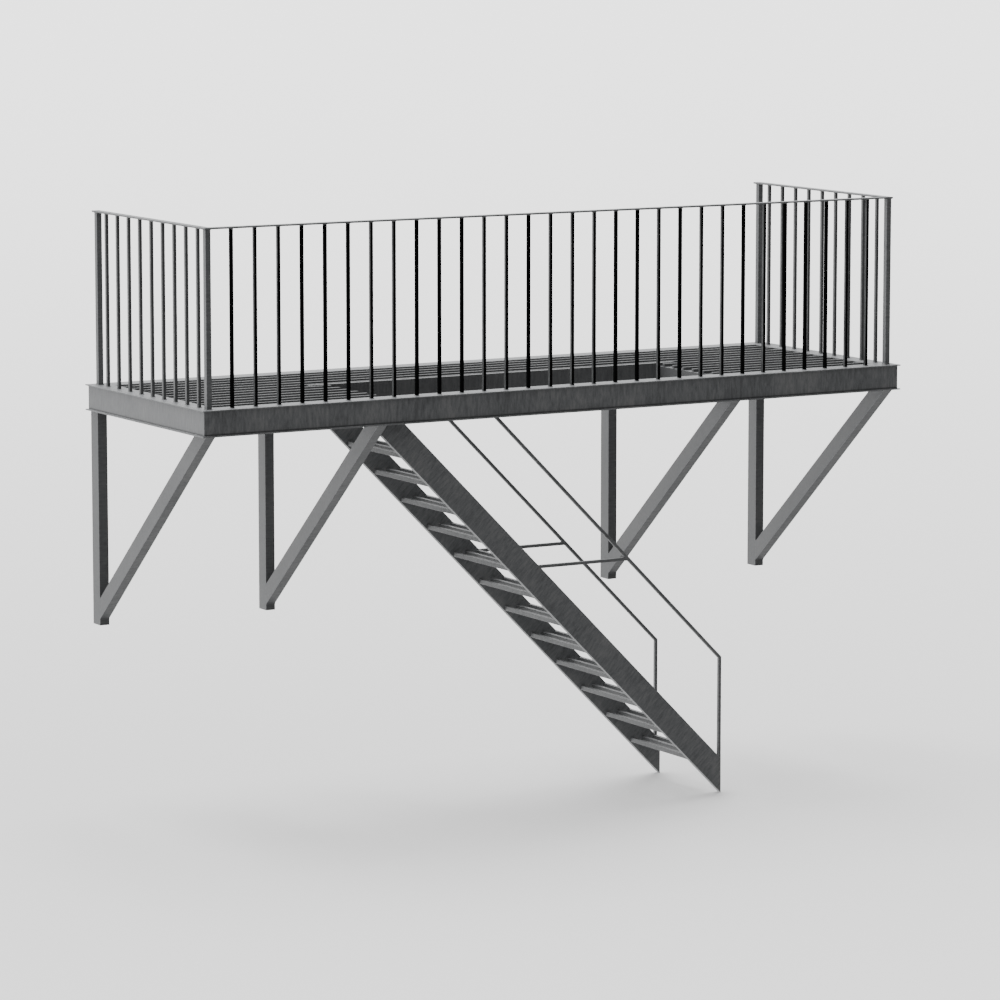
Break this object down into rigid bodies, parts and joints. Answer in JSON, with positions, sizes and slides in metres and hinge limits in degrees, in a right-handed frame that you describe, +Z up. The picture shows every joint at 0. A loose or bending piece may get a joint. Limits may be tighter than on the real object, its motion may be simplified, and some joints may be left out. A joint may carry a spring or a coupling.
{
  "type": "fire escape stair",
  "caption": "Exterior steel fire escape: a guarded open-bar landing on triangular wall brackets, with a straight flight and thin handrails down to the ground.",
  "frame": {"origin": "middle of the flat back face of the second bracket post, in the wall plane", "axes": "+X along the wall towards the foot of the flight, +Y into the wall, +Z up"},
  "size_m": [5.105, 1.665, 3.85],
  "materials": {
    "frame_steel": "satin, worn",
    "deck_steel": "satin, worn",
    "rail_steel": "satin, worn",
    "baluster_steel": "satin, worn",
    "front_baluster_steel": "satin, worn",
    "bracket_steel": "satin, worn",
    "stringer_steel": "satin, worn",
    "tread_steel": "satin, worn",
    "handrail_steel": "satin, worn"
  },
  "bodies": {
    "root": {"back_beam": "frame_steel", "balusters_front": "front_baluster_steel", "balusters_left": "baluster_steel", "balusters_right": "baluster_steel", "bracket_post_1": "bracket_steel", "bracket_post_2": "bracket_steel", "bracket_post_3": "bracket_steel", "bracket_post_4": "bracket_steel", "bracket_strut_1": "bracket_steel", "bracket_strut_2": "bracket_steel", "bracket_strut_3": "bracket_steel", "bracket_strut_4": "bracket_steel", "cross_joists": "frame_steel", "deck_bars_left": "deck_steel", "deck_bars_right": "deck_steel", "deck_bars_walkway": "deck_steel", "front_beam": "frame_steel", "guard_posts_corner": "rail_steel", "guard_posts_wall": "rail_steel", "handrail_back": "handrail_steel", "handrail_braces": "handrail_steel", "handrail_front": "handrail_steel", "handrail_leg_back": "handrail_steel", "handrail_leg_front": "handrail_steel", "left_end_beam": "frame_steel", "right_end_beam": "frame_steel", "stairwell_trimmer": "frame_steel", "stringer_back": "stringer_steel", "stringer_front": "stringer_steel", "top_rail_front": "rail_steel", "top_rail_left": "rail_steel", "top_rail_right": "rail_steel", "tread_01": "tread_steel", "tread_02": "tread_steel", "tread_03": "tread_steel", "tread_04": "tread_steel", "tread_05": "tread_steel", "tread_06": "tread_steel", "tread_07": "tread_steel", "tread_08": "tread_steel", "tread_09": "tread_steel", "tread_10": "tread_steel", "tread_11": "tread_steel", "tread_12": "tread_steel", "tread_13": "tread_steel"}
  },
  "joints": []
}
